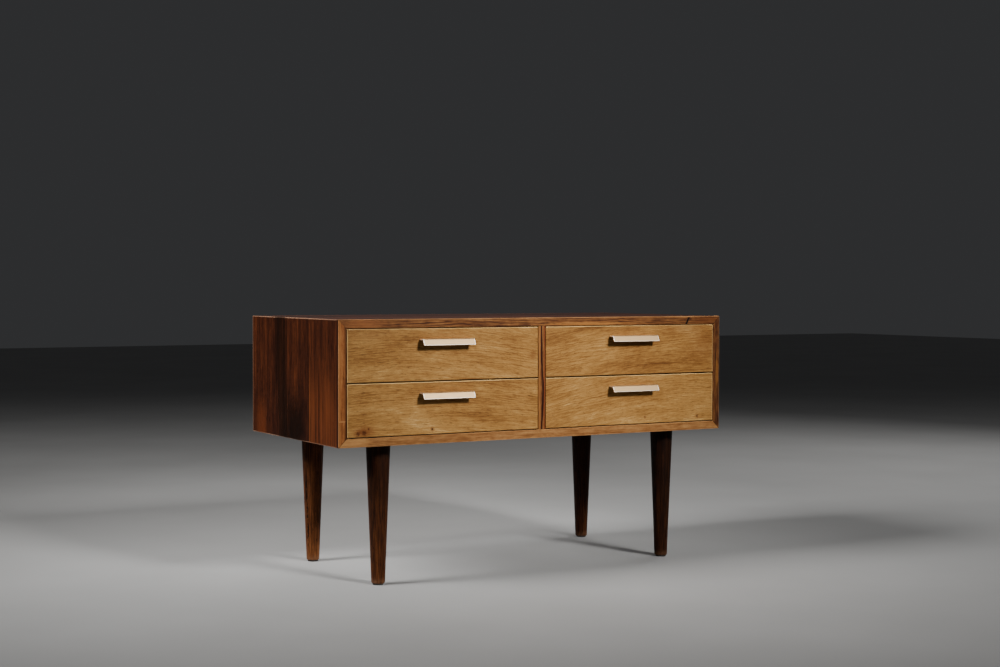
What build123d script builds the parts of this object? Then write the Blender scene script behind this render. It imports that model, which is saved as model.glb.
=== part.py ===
from build123d import *

import math
import os

os.makedirs("parts", exist_ok=True)

# Low four-drawer dresser: a mitred veneered case with solid front lippings, a centre divider,
# four side-hung dovetailed drawers with folded aluminium pulls, and four turned screw-on legs.
# Units are millimetres. +Z is up, the drawers open towards -Y, and the origin is on the floor
# under the centre of the whole footprint.

# ---------------------------------------------------------------- driving dimensions
width = 900.0               # case, left to right
depth = 430.0               # case, front to back
body_height = 243.0         # case, underside to top
leg_height = 276.5          # floor to the underside of the case
panel = 17.0                # walls and divider
lipping_depth = 8.0         # solid strips glued on the front edges
outer_round = 1.2           # worn arris of the case
arris = 0.8                 # small round or chamfer of drawer fronts, runners and legs
lipping_chamfer = 0.6
splice_height = 50.0        # butt joint in the left lipping, above the case's underside

front_thickness = 18.0      # drawer front
side_gap = 1.0              # drawer front to case, each side
edge_gap = 1.5              # drawer front to case, above and below
middle_gap = 2.0            # between the upper and lower drawer fronts
board = 12.0                # drawer sides and back
board_round = 2.0           # upper edges of drawer sides and back
side_height = 86.0
side_sill = 6.0             # drawer side's lower edge above the front's lower edge
box_rear = 410.0            # rear of the drawer box, behind the case's front
bottom_thickness = 5.0
bottom_groove = 6.0         # how far the drawer bottom enters each board
bottom_sill = 8.0           # groove above the drawer side's lower edge
bottom_slack = 0.3          # drawer bottom short of each groove's end

tail_count = 3
tail_root = 17.0            # dovetail width at the shoulder and at the tip
tail_tip = 20.5
tail_length = 10.0          # into the drawer front, which stays half-blind

runner_height = 16.0
runner_depth = 7.5          # how far a runner stands off the case wall
runner_slack = 0.4          # groove wider than the runner, above and below
runner_groove_depth = 7.0
groove_start = 32.0         # front end of the groove, behind the case's front
groove_run_out = 1.0        # the groove's cutter leaves the rear of the drawer side
runner_stop_gap = 0.6       # from the groove's end to the runner that stops the shut drawer
runner_rear = 415.0
runner_screw_rows = (62.0, 220.0, 390.0)

pull_length = 114.0
pull_projection = 19.5
pull_flange = 14.0          # flat top of the pull
pull_fall = 11.8            # height of its leaning face
pull_sheet = 2.0
pull_back = 3.0             # back plate, tapped for the screws and shorter than the pull
pull_back_height = 12.0
pull_back_length = 84.0
pull_drop = 20.5            # top of the pull below the drawer front's upper edge
pull_bend = 2.2             # outer radius of the fold
pull_corner = 1.5           # rounded corners of the lip, seen face on
pull_lip_round = 0.5        # and of its front edges
pull_screw_spacing = 64.0

rabbet_width = 9.0
rabbet_depth = 6.0
back_thickness = 5.0
back_slack = 0.5
back_screw_offsets = (80.0, 240.0, 400.0)    # from the middle, along the top and bottom
back_screw_rise = 55.0                       # above and below mid-height, in the upright edges

leg_inset_x = 111.0
leg_inset_y = 58.0
leg_top_radius = 24.0
leg_foot_radius = 13.4
foot_round = 2.5
glide_height = 3.0
glide_radius = 11.0
glide_round = 1.0
nail_radius = 1.2           # nail of the glide, up into the leg
nail_length = 14.0

spline_thickness = 4.0
spline_width = 12.0
spline_inset = 10.0         # along the mitre, from the inner corner
spline_stop = 20.0
dowel_radius = 4.0
dowel_in_panel = 11.0
dowel_in_divider = 15.0
dowel_rows = (70.0, 215.0, 360.0)

wood_screw = {"radius": 1.7, "head": 3.5, "length": 14.0}
back_screw = {"radius": 1.4, "head": 3.0, "length": 15.0}
machine_screw = {"radius": 2.0, "head": 4.2, "dome": 2.4}
machine_screw_gap = 0.3     # its tip stays behind the pull's back plate
rim_chamfer = 0.5
slot_width = 0.9
slot_depth = 0.7
slot_overrun = 1.0          # the slot's cutter is longer than the head is wide

bolt_radius = 4.0           # hanger bolt, upright in each leg
bolt_in_leg = 32.0
bolt_gap = 1.0              # below the inside of the case
nut_barrel = 5.0            # tee nut, pressed into the case's bottom from inside
nut_gap = 1.0               # above the underside of the case
nut_flange = 11.0
nut_flange_thickness = 1.5

fit = 0.1                   # clearance round a fastener, spline or dowel, each side
hole_end = 2.0              # blind holes in the legs run on past the bolt and the nail

# ---------------------------------------------------------------- places worked out from them
pull_lean = math.atan2(pull_projection - pull_flange, pull_fall)
lip_setback = pull_lip_round * (math.sin(pull_lean) + math.cos(pull_lean) - 1)
front_y = (pull_projection - lip_setback - depth) / 2    # the footprint is centred, pulls included
rear_y = front_y + depth
case_y = front_y + lipping_depth
top_z = leg_height + body_height
mid_z = leg_height + body_height / 2
inner_width = width - 2 * panel
inner_height = body_height - 2 * panel
floor_z = leg_height + panel                 # inside of the case
ceiling_z = top_z - panel
leg_places = [
    (sx * (width / 2 - leg_inset_x), y)
    for sx in (-1, 1)
    for y in (front_y + leg_inset_y, rear_y - leg_inset_y)
]

bay_width = (inner_width - panel) / 2
drawer_width = bay_width - 2 * side_gap
drawer_height = (inner_height - 2 * edge_gap - middle_gap) / 2
bay_centre = (panel + bay_width) / 2
lower_z = floor_z + edge_gap
upper_z = lower_z + drawer_height + middle_gap
drawers = {
    "upper_left": (-bay_centre, upper_z),
    "upper_right": (bay_centre, upper_z),
    "lower_left": (-bay_centre, lower_z),
    "lower_right": (bay_centre, lower_z),
}
runner_z = side_sill + side_height / 2       # runner's centre above a drawer front's lower edge
runner_front = groove_start + runner_stop_gap
screw_in_wall = wood_screw["length"] - runner_depth
screw_in_rabbet = back_screw["length"] - back_thickness
bolt_low = leg_height - bolt_in_leg


def facing(y):
    """The upright plane at that Y, seen from the front: its x is +X, its y is +Z, its normal is -Y."""
    return Plane.XZ.offset(-y)


def looking(point, direction):
    """A plane at point whose normal is direction, for a screw or a dowel that starts there."""
    return Plane(origin=point, z_dir=direction)


def save(name, builder):
    builder.part.label = name
    export_step(builder.part, f"parts/{name}.step")


# ---------------------------------------------------------------- fasteners
def head_depth(screw):
    """A countersunk head is a 90 degree cone."""
    return screw["head"] - screw["radius"]


def countersunk_screws(places, screw):
    """Screws of one size whose heads lie flush with the planes in places, which point into the wood."""
    with BuildPart() as one:
        with BuildSketch(Plane.XZ):
            with BuildLine():
                Polyline(
                    (0, 0),
                    (screw["head"], 0),
                    (screw["radius"], head_depth(screw)),
                    (screw["radius"], screw["length"] - 2 * screw["radius"]),
                    (0, screw["length"]),
                    close=True,
                )
            make_face()
        revolve(axis=Axis.Z)
        Box(
            2 * screw["head"] + slot_overrun,
            slot_width,
            slot_depth,
            align=(Align.CENTER, Align.CENTER, Align.MIN),
            mode=Mode.SUBTRACT,
        )
    with BuildPart() as group:
        with Locations(*places):
            add(one.part)
    return group


def pilot_holes(places, screw, depth_in, head=False):
    """Cuts clearance for screws from the part in progress; head adds the countersink."""
    with Locations(*places):
        Cylinder(
            screw["radius"] + fit,
            depth_in + fit,
            align=(Align.CENTER, Align.CENTER, Align.MIN),
            mode=Mode.SUBTRACT,
        )
        if head:
            Cone(
                screw["head"] + fit,
                screw["radius"] + fit,
                head_depth(screw),
                align=(Align.CENTER, Align.CENTER, Align.MIN),
                mode=Mode.SUBTRACT,
            )


def wall_screw_places(face_x, direction):
    """Where runner screws enter a case wall or the divider, whose face is at face_x."""
    return [
        looking((face_x, front_y + row, base_z + runner_z), (direction, 0, 0))
        for base_z in (lower_z, upper_z)
        for row in runner_screw_rows
    ]


back_screw_columns = [side * column for side in (-1, 1) for column in back_screw_offsets]
back_screw_rows = [mid_z + side * back_screw_rise for side in (-1, 1)]
ledge = rabbet_width / 2
back_face_y = rear_y - rabbet_depth + back_thickness
back_screw_places = [
    (x, z)
    for x in back_screw_columns
    for z in (floor_z - ledge, ceiling_z + ledge)
] + [
    (x, z)
    for x in (-inner_width / 2 - ledge, 0.0, inner_width / 2 + ledge)
    for z in back_screw_rows
]


def back_screw_planes(y):
    return [looking((x, y, z), (0, -1, 0)) for x, z in back_screw_places]


def dowel_places(radius_slack):
    """Dowels between the divider and the top and bottom panels, as (plane, length) pairs."""
    slack = 2 * radius_slack
    length = dowel_in_panel + dowel_in_divider + slack
    low = floor_z - dowel_in_panel - radius_slack
    high = ceiling_z - dowel_in_divider - radius_slack
    planes = [
        looking((0, front_y + row, z), (0, 0, 1)) for row in dowel_rows for z in (low, high)
    ]
    return planes, length


def add_dowels(slack, mode):
    planes, length = dowel_places(slack)
    with Locations(*planes):
        Cylinder(
            dowel_radius + slack,
            length,
            align=(Align.CENTER, Align.CENTER, Align.MIN),
            mode=mode,
        )


def spline_section(slack):
    """The four loose splines, square to the mitres, in the sketch in progress."""
    reach = spline_inset / math.sqrt(2)
    for sx in (-1, 1):
        for sz in (-1, 1):
            with Locations((sx * (inner_width / 2 + reach), mid_z + sz * (inner_height / 2 + reach))):
                Rectangle(
                    spline_width + 2 * slack,
                    spline_thickness + 2 * slack,
                    rotation=-45 * sx * sz,
                )


def add_splines(slack, mode):
    with BuildSketch(facing(case_y + spline_stop - slack)) as section:
        spline_section(slack)
    run = rear_y - case_y - 2 * spline_stop + 2 * slack
    extrude(section.sketch, amount=-run, mode=mode)


# ---------------------------------------------------------------- case
def case_section():
    """The case seen from the front: a ring with barely rounded outer corners."""
    with Locations((0, mid_z)):
        RectangleRounded(width, body_height, outer_round)
        Rectangle(inner_width, inner_height, mode=Mode.SUBTRACT)


def mitred_away(wall):
    """Outline, seen from the front, of the wedge between the mitres that holds one wall."""
    half_width = width / 2
    half_height = body_height / 2
    ridge = half_width - half_height
    if wall in ("top", "bottom"):
        z = top_z if wall == "top" else leg_height
        return [(-half_width, z), (half_width, z), (ridge, mid_z), (-ridge, mid_z)]
    side = -1 if wall == "left" else 1
    return [(side * half_width, top_z), (side * ridge, mid_z), (side * half_width, leg_height)]


def keep_wedge(wall):
    """Trims the part in progress to one wall."""
    with BuildSketch(facing(front_y)) as wedge:
        with BuildLine():
            Polyline(*mitred_away(wall), close=True)
        make_face()
    extrude(wedge.sketch, amount=-depth, mode=Mode.INTERSECT)


# The four walls start as one ring, so that every joint and hole matches across the mitres.
with BuildPart() as case_ring:
    with BuildSketch(facing(case_y)):
        case_section()
    extrude(amount=case_y - rear_y)
    with BuildSketch(facing(rear_y)):
        with Locations((0, mid_z)):
            Rectangle(inner_width + 2 * rabbet_width, inner_height + 2 * rabbet_width)
    extrude(amount=rabbet_depth, mode=Mode.SUBTRACT)
    add_splines(fit, Mode.SUBTRACT)
    add_dowels(fit, Mode.SUBTRACT)
    pilot_holes(wall_screw_places(-inner_width / 2, -1), wood_screw, screw_in_wall)
    pilot_holes(wall_screw_places(inner_width / 2, 1), wood_screw, screw_in_wall)
    pilot_holes(back_screw_planes(rear_y - rabbet_depth), back_screw, screw_in_rabbet)
    with Locations(*[(x, y, leg_height) for x, y in leg_places]):
        Cylinder(
            nut_barrel + fit,
            panel,
            align=(Align.CENTER, Align.CENTER, Align.MIN),
            mode=Mode.SUBTRACT,
        )

with BuildPart() as lipping_ring:
    with BuildSketch(facing(front_y)):
        case_section()
    extrude(amount=-lipping_depth)
    chamfer(lipping_ring.faces().sort_by(Axis.Y)[0].edges(), lipping_chamfer)

for wall in ("top", "bottom", "left", "right"):
    with BuildPart() as case_wall:
        add(case_ring.part)
        keep_wedge(wall)
    suffix = "_side_panel" if wall in ("left", "right") else "_panel"
    save(wall + suffix, case_wall)

for wall in ("top", "bottom", "right"):
    with BuildPart() as lipping:
        add(lipping_ring.part)
        keep_wedge(wall)
    save(f"{wall}_lipping", lipping)

# The left lipping is pieced from two lengths, butted together low down.
for name, low, high in (
    ("left_lipping_upper", leg_height + splice_height, top_z),
    ("left_lipping_lower", leg_height, leg_height + splice_height),
):
    with BuildPart() as lipping:
        add(lipping_ring.part)
        keep_wedge("left")
        with BuildSketch(Plane.XY.offset(low)):
            Rectangle(2 * width, 2 * depth)
        extrude(amount=high - low, mode=Mode.INTERSECT)
    save(name, lipping)

with BuildPart() as divider:
    with BuildSketch(Plane.XY.offset(floor_z)):
        with Locations((0, (case_y + rear_y - rabbet_depth) / 2)):
            Rectangle(panel, rear_y - rabbet_depth - case_y)
    extrude(amount=inner_height)
    add_dowels(fit, Mode.SUBTRACT)
    pilot_holes(wall_screw_places(-panel / 2, 1), wood_screw, screw_in_wall)
    pilot_holes(wall_screw_places(panel / 2, -1), wood_screw, screw_in_wall)
    pilot_holes(back_screw_planes(rear_y - rabbet_depth), back_screw, screw_in_rabbet)
save("centre_divider", divider)

with BuildPart() as divider_lipping:
    with BuildSketch(Plane.XY.offset(floor_z)):
        with Locations((0, front_y + lipping_depth / 2)):
            Rectangle(panel, lipping_depth)
    extrude(amount=inner_height)
    chamfer(
        divider_lipping.edges().filter_by(Axis.Z).group_by(Axis.Y)[0],
        lipping_chamfer,
    )
save("divider_lipping", divider_lipping)

with BuildPart() as back_panel:
    with BuildSketch(facing(rear_y - rabbet_depth)):
        with Locations((0, mid_z)):
            Rectangle(
                inner_width + 2 * (rabbet_width - back_slack),
                inner_height + 2 * (rabbet_width - back_slack),
            )
    extrude(amount=-back_thickness)
    pilot_holes(back_screw_planes(back_face_y), back_screw, back_thickness, head=True)
save("back_panel", back_panel)
save("back_panel_screws", countersunk_screws(back_screw_planes(back_face_y), back_screw))

with BuildPart() as corner_splines:
    add_splines(0, Mode.ADD)
save("corner_splines", corner_splines)

with BuildPart() as divider_dowels:
    add_dowels(0, Mode.ADD)
save("divider_dowels", divider_dowels)


# ---------------------------------------------------------------- drawer runners
def runner_outline(slack, front, rear, centre_z):
    """A runner or its groove from the side: round at the front, square at the rear."""
    radius = runner_height / 2 + slack
    with Locations((front + radius, centre_z)):
        Circle(radius)
    with Locations(((front + radius + rear) / 2, centre_z)):
        Rectangle(rear - front - radius, 2 * radius)


runner_screw_planes = []
for name, (centre_x, base_z) in drawers.items():
    for hand, side in (("left", -1), ("right", 1)):
        wall_x = centre_x + side * bay_width / 2
        face_x = wall_x - side * runner_depth
        centre_z = base_z + runner_z
        places = [
            looking((face_x, front_y + row, centre_z), (side, 0, 0)) for row in runner_screw_rows
        ]
        runner_screw_planes += places
        with BuildPart() as runner:
            with BuildSketch(Plane.YZ.offset(wall_x)):
                runner_outline(0, front_y + runner_front, front_y + runner_rear, centre_z)
            extrude(amount=-side * runner_depth)
            chamfer(runner.faces().sort_by(Axis.X)[0 if side > 0 else -1].edges(), arris)
            pilot_holes(places, wood_screw, runner_depth, head=True)
        save(f"{name}_runner_{hand}", runner)
save("runner_screws", countersunk_screws(runner_screw_planes, wood_screw))


# ---------------------------------------------------------------- drawers
def dovetails(shoulder_y, tip_y, sill_z):
    """Adds the tails at one end of a drawer side, or their sockets, to the sketch in progress."""
    pitch = side_height / tail_count
    for row in range(tail_count):
        z = sill_z + (row + 0.5) * pitch
        Polygon(
            (shoulder_y, z - tail_root / 2),
            (tip_y, z - tail_tip / 2),
            (tip_y, z + tail_tip / 2),
            (shoulder_y, z + tail_root / 2),
            align=None,
        )


def drawer_front(centre_x, base_z):
    shoulder = front_y + front_thickness
    sill = base_z + side_sill
    with BuildPart() as front:
        with BuildSketch(facing(front_y)):
            with Locations((centre_x, base_z + drawer_height / 2)):
                Rectangle(drawer_width, drawer_height)
        extrude(amount=-front_thickness)
        fillet(front.faces().sort_by(Axis.Y)[0].edges(), arris)
        for side in (-1, 1):
            with BuildSketch(Plane.YZ.offset(centre_x + side * drawer_width / 2)) as sockets:
                dovetails(shoulder, shoulder - tail_length, sill)
            extrude(sockets.sketch, amount=-side * board, mode=Mode.SUBTRACT)
        with BuildSketch(facing(shoulder)) as groove:
            with Locations((centre_x, sill + bottom_sill + bottom_thickness / 2)):
                Rectangle(drawer_width - 2 * (board - bottom_groove), bottom_thickness + fit)
        extrude(groove.sketch, amount=bottom_groove, mode=Mode.SUBTRACT)
        with Locations(*pull_screw_planes(centre_x, base_z, shoulder)):
            Cylinder(
                machine_screw["radius"] + 2 * fit,
                front_thickness,
                align=(Align.CENTER, Align.CENTER, Align.MIN),
                mode=Mode.SUBTRACT,
            )
    return front


def drawer_side(outer_x, inward, base_z):
    shoulder = front_y + front_thickness
    heel = front_y + box_rear - board
    sill = base_z + side_sill
    with BuildPart() as side:
        with BuildSketch(Plane.YZ.offset(outer_x)):
            with Locations(((shoulder + heel) / 2, sill + side_height / 2)):
                Rectangle(heel - shoulder, side_height)
            dovetails(shoulder, shoulder - tail_length, sill)
            dovetails(heel, heel + board, sill)
        extrude(amount=inward * board)
        fillet(side.edges().filter_by(Axis.Y).group_by(Axis.Z)[-1], board_round)
        with BuildSketch(Plane.YZ.offset(outer_x)) as runner_groove:
            runner_outline(
                runner_slack,
                front_y + groove_start,
                front_y + box_rear + groove_run_out,
                base_z + runner_z,
            )
        extrude(runner_groove.sketch, amount=inward * runner_groove_depth, mode=Mode.SUBTRACT)
        with BuildSketch(Plane.YZ.offset(outer_x + inward * board)) as bottom_slot:
            with Locations(((shoulder + heel) / 2, sill + bottom_sill + bottom_thickness / 2)):
                Rectangle(2 * depth, bottom_thickness + fit)
        extrude(bottom_slot.sketch, amount=-inward * bottom_groove, mode=Mode.SUBTRACT)
    return side


def drawer_back(centre_x, base_z):
    heel = front_y + box_rear - board
    sill = base_z + side_sill
    with BuildPart() as back:
        with BuildSketch(facing(heel)):
            with Locations((centre_x, sill + side_height / 2)):
                Rectangle(drawer_width, side_height)
        extrude(amount=-board)
        fillet(back.edges().filter_by(Axis.X).group_by(Axis.Z)[-1], board_round)
        for side in (-1, 1):
            with BuildSketch(Plane.YZ.offset(centre_x + side * drawer_width / 2)) as sockets:
                dovetails(heel, heel + board, sill)
            extrude(sockets.sketch, amount=-side * board, mode=Mode.SUBTRACT)
        with BuildSketch(facing(heel)) as groove:
            with Locations((centre_x, sill + bottom_sill + bottom_thickness / 2)):
                Rectangle(drawer_width - 2 * (board - bottom_groove), bottom_thickness + fit)
        extrude(groove.sketch, amount=-bottom_groove, mode=Mode.SUBTRACT)
    return back


def drawer_bottom(centre_x, base_z):
    front_edge = front_y + front_thickness - bottom_groove + bottom_slack
    rear_edge = front_y + box_rear - board + bottom_groove - bottom_slack
    with BuildPart() as bottom:
        with BuildSketch(Plane.XY.offset(base_z + side_sill + bottom_sill)):
            with Locations((centre_x, (front_edge + rear_edge) / 2)):
                Rectangle(
                    drawer_width - 2 * (board - bottom_groove + bottom_slack),
                    rear_edge - front_edge,
                )
        extrude(amount=bottom_thickness)
    return bottom


# ---------------------------------------------------------------- pulls
def pull_top(base_z):
    return base_z + drawer_height - pull_drop


def pull_screw_planes(centre_x, base_z, y):
    z = pull_top(base_z) - pull_back_height / 2
    return [
        looking((centre_x + side * pull_screw_spacing / 2, y, z), (0, -1, 0)) for side in (-1, 1)
    ]


def pull(centre_x, base_z):
    """A folded strip, flat on top, whose face leans out for the fingers, on a tapped back plate."""
    sine = math.sin(pull_lean)
    cosine = math.cos(pull_lean)
    top = pull_top(base_z)
    fold_y = front_y - pull_flange
    inner_run = pull_sheet * (1 - sine) / cosine
    inner_fold_y = fold_y - inner_run * sine + pull_sheet * cosine
    lip_y = front_y - pull_projection
    lip_z = top - pull_fall
    with BuildPart() as handle:
        with BuildSketch(Plane.YZ.offset(centre_x - pull_length / 2)) as profile:
            with BuildLine():
                Polyline(
                    (front_y, top),
                    (fold_y, top),
                    (lip_y, lip_z),
                    (lip_y + pull_sheet * cosine, lip_z - pull_sheet * sine),
                    (inner_fold_y, top - pull_sheet),
                    (front_y, top - pull_sheet),
                    close=True,
                )
            make_face()
            fillet(profile.vertices().sort_by_distance((fold_y, top))[0], pull_bend)
        extrude(amount=pull_length)
        fillet(handle.edges().filter_by(Axis((0, 0, 0), (0, cosine, -sine))), pull_corner)
        fillet(handle.faces().sort_by(Axis.Y)[0].edges(), pull_lip_round)
        with BuildSketch(facing(front_y)):
            with Locations((centre_x, top - pull_back_height / 2)):
                Rectangle(pull_back_length, pull_back_height)
        extrude(amount=pull_back)
        with Locations(*pull_screw_planes(centre_x, base_z, front_y)):
            Cylinder(
                machine_screw["radius"] + fit / 2,
                pull_back,
                align=(Align.CENTER, Align.CENTER, Align.MIN),
                mode=Mode.SUBTRACT,
            )
    return handle


def pull_screws(centre_x, base_z):
    """Slotted pan-head screws, put in from inside the drawer."""
    inside_y = front_y + front_thickness
    with BuildPart() as group:
        with Locations(*pull_screw_planes(centre_x, base_z, inside_y)):
            Cylinder(
                machine_screw["radius"],
                front_thickness + pull_back - machine_screw_gap,
                align=(Align.CENTER, Align.CENTER, Align.MIN),
            )
            Cylinder(
                machine_screw["head"],
                machine_screw["dome"],
                align=(Align.CENTER, Align.CENTER, Align.MAX),
            )
            with Locations((0, 0, -machine_screw["dome"])):
                Box(
                    2 * machine_screw["head"] + slot_overrun,
                    slot_width,
                    slot_depth,
                    align=(Align.CENTER, Align.CENTER, Align.MIN),
                    mode=Mode.SUBTRACT,
                )
        rims = group.edges().filter_by(GeomType.CIRCLE).group_by(Axis.Y)[-1]
        chamfer(rims, rim_chamfer)
    return group


for name, (centre_x, base_z) in drawers.items():
    left_x = centre_x - drawer_width / 2
    right_x = centre_x + drawer_width / 2
    save(f"{name}_drawer_front", drawer_front(centre_x, base_z))
    save(f"{name}_drawer_side_left", drawer_side(left_x, 1, base_z))
    save(f"{name}_drawer_side_right", drawer_side(right_x, -1, base_z))
    save(f"{name}_drawer_back", drawer_back(centre_x, base_z))
    save(f"{name}_drawer_bottom", drawer_bottom(centre_x, base_z))
    save(f"{name}_pull", pull(centre_x, base_z))
    save(f"{name}_pull_screws", pull_screws(centre_x, base_z))

# ---------------------------------------------------------------- legs
leg_names = ("front_left_leg", "rear_left_leg", "front_right_leg", "rear_right_leg")
for name, (leg_x, leg_y) in zip(leg_names, leg_places):
    with BuildPart() as leg:
        with BuildSketch(Plane(origin=(leg_x, leg_y, 0), x_dir=(1, 0, 0), z_dir=(0, -1, 0))):
            with BuildLine():
                Polyline(
                    (0, glide_height),
                    (leg_foot_radius, glide_height),
                    (leg_top_radius, leg_height),
                    (0, leg_height),
                    close=True,
                )
            make_face()
        revolve(axis=Axis((leg_x, leg_y, 0), (0, 0, 1)))
        rims = leg.edges().filter_by(GeomType.CIRCLE).sort_by(Axis.Z)
        fillet(rims[0], foot_round)
        chamfer(rims[-1], arris)
        with Locations((leg_x, leg_y, bolt_low - hole_end)):
            Cylinder(
                bolt_radius + fit,
                bolt_in_leg + hole_end,
                align=(Align.CENTER, Align.CENTER, Align.MIN),
                mode=Mode.SUBTRACT,
            )
        with Locations((leg_x, leg_y, glide_height)):
            Cylinder(
                nail_radius + fit,
                nail_length + hole_end,
                align=(Align.CENTER, Align.CENTER, Align.MIN),
                mode=Mode.SUBTRACT,
            )
    save(name, leg)

with BuildPart() as hanger_bolts:
    with Locations(*[(x, y, bolt_low) for x, y in leg_places]):
        Cylinder(
            bolt_radius,
            bolt_in_leg + panel - bolt_gap,
            align=(Align.CENTER, Align.CENTER, Align.MIN),
        )
    chamfer(hanger_bolts.edges().filter_by(GeomType.CIRCLE), arris)
save("hanger_bolts", hanger_bolts)

with BuildPart() as tee_nuts:
    with Locations(*[(x, y, leg_height + nut_gap) for x, y in leg_places]):
        Cylinder(nut_barrel, panel - nut_gap, align=(Align.CENTER, Align.CENTER, Align.MIN))
    with Locations(*[(x, y, floor_z) for x, y in leg_places]):
        Cylinder(
            nut_flange,
            nut_flange_thickness,
            align=(Align.CENTER, Align.CENTER, Align.MIN),
        )
    with Locations(*[(x, y, leg_height) for x, y in leg_places]):
        Cylinder(
            bolt_radius + fit,
            panel + nut_flange_thickness,
            align=(Align.CENTER, Align.CENTER, Align.MIN),
            mode=Mode.SUBTRACT,
        )
save("tee_nuts", tee_nuts)

with BuildPart() as foot_glides:
    with Locations(*[(x, y, 0) for x, y in leg_places]):
        Cylinder(glide_radius, glide_height, align=(Align.CENTER, Align.CENTER, Align.MIN))
    fillet(foot_glides.edges().filter_by(GeomType.CIRCLE).group_by(Axis.Z)[0], glide_round)
    with Locations(*[(x, y, glide_height) for x, y in leg_places]):
        Cylinder(nail_radius, nail_length, align=(Align.CENTER, Align.CENTER, Align.MIN))
save("foot_glides", foot_glides)
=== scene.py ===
import math

import bpy
from mathutils import Matrix, Vector


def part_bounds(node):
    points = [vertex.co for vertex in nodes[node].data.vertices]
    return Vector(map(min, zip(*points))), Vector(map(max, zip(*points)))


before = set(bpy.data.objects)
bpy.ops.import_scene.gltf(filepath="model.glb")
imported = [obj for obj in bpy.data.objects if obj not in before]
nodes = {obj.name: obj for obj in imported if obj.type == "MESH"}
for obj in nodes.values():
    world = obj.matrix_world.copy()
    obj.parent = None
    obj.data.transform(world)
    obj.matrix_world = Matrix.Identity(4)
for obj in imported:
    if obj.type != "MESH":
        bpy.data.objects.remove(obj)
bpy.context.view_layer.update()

# Looks for a low four-drawer dresser. Every CAD node keeps its own shape, and gets a solid wood, veneer,
# metal or plastic material worked out from the node's place, so that the grain runs through each board.

PLACES = ("upper_left", "upper_right", "lower_left", "lower_right")
AXES = "XYZ"


def srgb(red, green, blue):
    """A colour given by its 0 to 255 screen values, as the linear numbers that shaders use."""
    shares = [channel / 255 for channel in (red, green, blue)]
    return (*[s / 12.92 if s <= 0.04045 else ((s + 0.055) / 1.055) ** 2.4 for s in shares], 1.0)


# ------------------------------------------------------------------ shader building blocks
class Shader:
    """The node tree of one material. Inputs may be numbers, tuples or sockets."""

    def __init__(self, name):
        self.material = bpy.data.materials.new(name)
        self.material.use_nodes = True
        self.tree = self.material.node_tree
        self.tree.nodes.clear()
        self.place = self.add("TexCoord").outputs["Object"]

    def add(self, kind, inputs=None, **settings):
        node = self.tree.nodes.new("ShaderNode" + kind)
        for name, value in settings.items():
            setattr(node, name, value)
        for key, value in (inputs or {}).items():
            if isinstance(value, bpy.types.NodeSocket):
                self.tree.links.new(value, node.inputs[key])
            else:
                node.inputs[key].default_value = value
        return node

    def math(self, operation, *values):
        return self.add("Math", dict(enumerate(values)), operation=operation).outputs[0]

    def least(self, *values):
        result = values[0]
        for value in values[1:]:
            result = self.math("MINIMUM", result, value)
        return result

    def total(self, *values):
        result = values[0]
        for value in values[1:]:
            result = self.math("ADD", result, value)
        return result

    def ease(self, value, low, high, start=0.0, end=1.0):
        """Goes smoothly from start to end while value goes from low to high."""
        inputs = {0: value, 1: low, 2: high, 3: start, 4: end}
        return self.add("MapRange", inputs, interpolation_type="SMOOTHSTEP").outputs[0]

    def hypotenuse(self, first, second):
        squares = [self.math("MULTIPLY", side, side) for side in (first, second)]
        return self.math("SQRT", self.total(*squares))

    def split(self, vector):
        return self.add("SeparateXYZ", {0: vector}).outputs

    def join(self, x, y, z):
        return self.add("CombineXYZ", {0: x, 1: y, 2: z}).outputs[0]

    def shift(self, vector, offset):
        return self.add("VectorMath", {0: vector, 1: offset}, operation="ADD").outputs[0]

    def noise(self, point, lump, detail=3.0, roughness=0.55, distortion=0.0):
        """Noise from 0 to 1 whose lumps are lump metres long each way."""
        stretched = self.add(
            "VectorMath", {0: point, 1: tuple(1 / size for size in lump)}, operation="MULTIPLY"
        )
        inputs = {
            "Vector": stretched.outputs[0],
            "Scale": 1.0,
            "Detail": detail,
            "Roughness": roughness,
            "Distortion": distortion,
        }
        return self.add("TexNoise", inputs).outputs[0]

    def blend(self, factor, first, second, mode="MIX"):
        inputs = {0: factor, 6: first, 7: second}
        return self.add("Mix", inputs, data_type="RGBA", blend_type=mode).outputs[2]

    def ramp(self, value, stops):
        """Colours that follow a value, from (place, colour) pairs."""
        node = self.add("ValToRGB", {0: value})
        elements = node.color_ramp.elements
        elements[0].position, elements[0].color = stops[0]
        elements[1].position, elements[1].color = stops[-1]
        for place, colour in stops[1:-1]:
            elements.new(place).color = colour
        return node.outputs[0]

    def finish(self, colour, roughness, height=None, bump=0.3, relief=0.0002, **sockets):
        """The surface shader. sockets are numbers for its own inputs, with _ for a space."""
        inputs = {"Base Color": colour, "Roughness": roughness}
        for name, value in sockets.items():
            inputs[name.replace("_", " ")] = value
        if height is not None:
            raised = {"Strength": bump, "Distance": relief, "Height": height}
            inputs["Normal"] = self.add("Bump", raised).outputs[0]
        surface = self.add("BsdfPrincipled", inputs)
        output = self.add("OutputMaterial")
        self.tree.links.new(surface.outputs[0], output.inputs[0])
        return self.material


def edge_distance(shader, low, high):
    """How far a point on a box-shaped board is from the board's nearest edge, in metres."""
    place = shader.split(shader.place)
    gaps = []
    for axis in range(3):
        below = shader.math("SUBTRACT", place[axis], low[axis])
        above = shader.math("SUBTRACT", high[axis], place[axis])
        gaps.append(shader.least(below, above))
    # On a face one gap is nothing, so the distance to the edge is the middle one of the three.
    smaller = shader.math("MINIMUM", gaps[0], gaps[1])
    larger = shader.math("MAXIMUM", gaps[0], gaps[1])
    return shader.math("MAXIMUM", smaller, shader.math("MINIMUM", larger, gaps[2]))


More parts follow.
